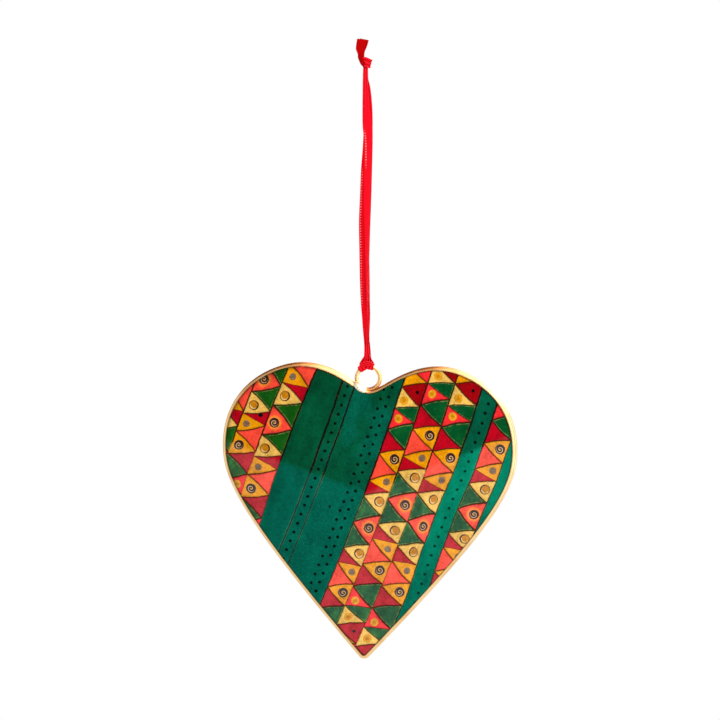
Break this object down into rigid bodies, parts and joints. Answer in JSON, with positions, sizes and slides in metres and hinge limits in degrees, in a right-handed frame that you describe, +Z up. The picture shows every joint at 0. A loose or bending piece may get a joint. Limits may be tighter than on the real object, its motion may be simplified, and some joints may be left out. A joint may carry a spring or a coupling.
{
  "type": "hanging heart ornament",
  "caption": "Flat crowned heart of stamped sheet metal with a brass rim and painted faces, hung by a small wire ring from a knotted loop of satin ribbon.",
  "frame": {"origin": "the hanging point, inside the top of the ribbon loop just under its knot", "axes": "+Z up along the ribbon, the painted front faces -Y, +X to the right seen from the front"},
  "size_m": [0.09, 0.0088, 0.1876],
  "materials": {
    "brass": "polished sheet and wire",
    "solder": "bright brazed bead",
    "painted_panel": "painted skin under clear lacquer",
    "satin_ribbon": "woven satin ribbon"
  },
  "bodies": {
    "ribbon_loop": {"ribbon_knot": "satin_ribbon", "ribbon_front_tail": "satin_ribbon", "ribbon_back_tail": "satin_ribbon", "ribbon_left_strand": "satin_ribbon", "ribbon_right_strand": "satin_ribbon"},
    "ribbon_end": {"ribbon_neck": "satin_ribbon"},
    "heart": {"front_shell": "brass", "back_shell": "brass", "seam_solder": "solder", "front_panel": "painted_panel", "back_panel": "painted_panel", "hanging_ring": "brass", "ring_solder": "solder", "ribbon_hitch": "satin_ribbon"}
  },
  "joints": [
    {"name": "ribbon_twist", "type": "hinge", "parent": "ribbon_loop", "child": "ribbon_end", "pos_m": [0, 0, -0.083], "axis": [0, 0, 1], "range_deg": [-180, 180], "stiffness_Nm_per_rad": 0.00002},
    {"name": "heart_tilt", "type": "hinge", "parent": "ribbon_end", "child": "heart", "pos_m": [0, 0, -0.087], "axis": [1, 0, 0], "range_deg": [-90, 90]}
  ]
}
